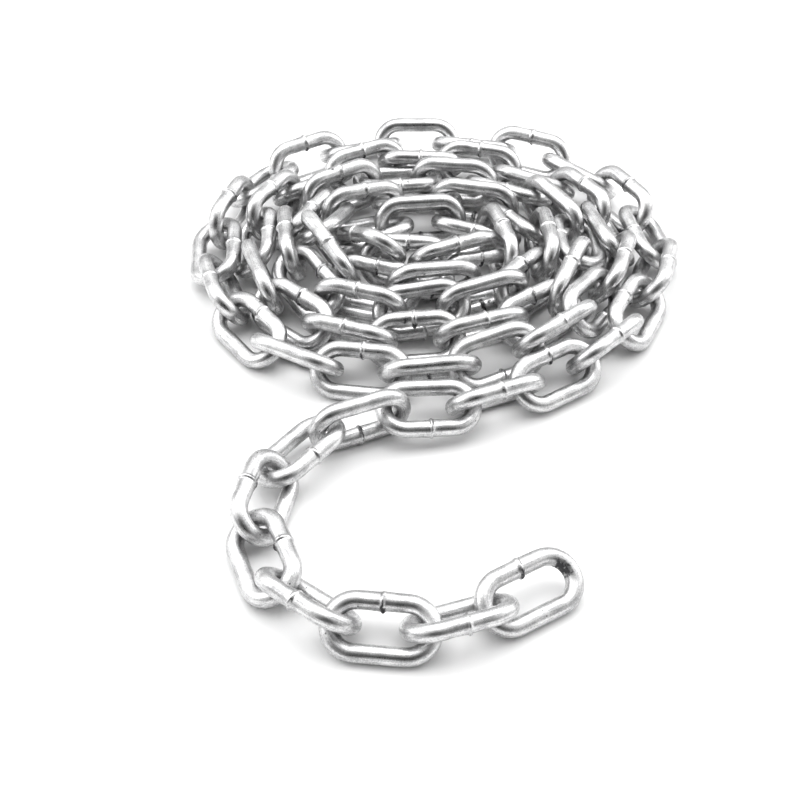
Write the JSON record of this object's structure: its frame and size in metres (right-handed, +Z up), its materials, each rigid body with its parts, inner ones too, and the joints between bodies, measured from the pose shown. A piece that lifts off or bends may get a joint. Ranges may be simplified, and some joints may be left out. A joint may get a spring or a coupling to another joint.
{
  "type": "heap of steel chain",
  "caption": "Loose heap of zinc-plated welded steel chain: a flat oval pile coiled on the floor, with its free end lying out in front in an open curve.",
  "frame": {"origin": "on the floor, below the middle of the heap's plan outline", "axes": "+X to the right of the picture, +Y away from its viewer along the heap's long side, from the free end to the back of the pile, +Z up from the floor"},
  "size_m": [0.1958, 0.2836, 0.0297],
  "materials": {
    "zinc_plated_steel": "bright zinc plate, satin gloss"
  },
  "bodies": {
    "root": {"centre_turn_pair_01": "zinc_plated_steel", "centre_turn_pair_02": "zinc_plated_steel", "centre_turn_pair_03": "zinc_plated_steel", "centre_turn_pair_04": "zinc_plated_steel", "fourth_turn_pair_01": "zinc_plated_steel", "fourth_turn_pair_02": "zinc_plated_steel", "fourth_turn_pair_03": "zinc_plated_steel", "fourth_turn_pair_04": "zinc_plated_steel", "fourth_turn_pair_05": "zinc_plated_steel", "outer_turn_link_01": "zinc_plated_steel", "outer_turn_link_02": "zinc_plated_steel", "outer_turn_link_03": "zinc_plated_steel", "outer_turn_link_04": "zinc_plated_steel", "outer_turn_link_05": "zinc_plated_steel", "outer_turn_link_06": "zinc_plated_steel", "outer_turn_link_07": "zinc_plated_steel", "outer_turn_link_08": "zinc_plated_steel", "outer_turn_link_09": "zinc_plated_steel", "outer_turn_link_10": "zinc_plated_steel", "outer_turn_link_11": "zinc_plated_steel", "outer_turn_link_12": "zinc_plated_steel", "outer_turn_link_13": "zinc_plated_steel", "outer_turn_link_14": "zinc_plated_steel", "outer_turn_link_15": "zinc_plated_steel", "outer_turn_link_16": "zinc_plated_steel", "outer_turn_link_17": "zinc_plated_steel", "outer_turn_link_18": "zinc_plated_steel", "outer_turn_link_19": "zinc_plated_steel", "outer_turn_link_20": "zinc_plated_steel", "outer_turn_link_21": "zinc_plated_steel", "outer_turn_link_22": "zinc_plated_steel", "second_turn_pair_01": "zinc_plated_steel", "second_turn_pair_02": "zinc_plated_steel", "second_turn_pair_03": "zinc_plated_steel", "second_turn_pair_04": "zinc_plated_steel", "second_turn_pair_05": "zinc_plated_steel", "second_turn_pair_06": "zinc_plated_steel", "second_turn_pair_07": "zinc_plated_steel", "second_turn_pair_08": "zinc_plated_steel", "tail_link_01": "zinc_plated_steel", "tail_link_02": "zinc_plated_steel", "tail_link_03": "zinc_plated_steel", "tail_link_04": "zinc_plated_steel", "tail_link_05": "zinc_plated_steel", "tail_link_06": "zinc_plated_steel", "tail_link_07": "zinc_plated_steel", "tail_link_08": "zinc_plated_steel", "tail_link_09": "zinc_plated_steel", "tail_link_10": "zinc_plated_steel", "third_turn_pair_01": "zinc_plated_steel", "third_turn_pair_02": "zinc_plated_steel", "third_turn_pair_03": "zinc_plated_steel", "third_turn_pair_04": "zinc_plated_steel", "third_turn_pair_05": "zinc_plated_steel", "third_turn_pair_06": "zinc_plated_steel", "third_turn_pair_07": "zinc_plated_steel"}
  },
  "joints": []
}
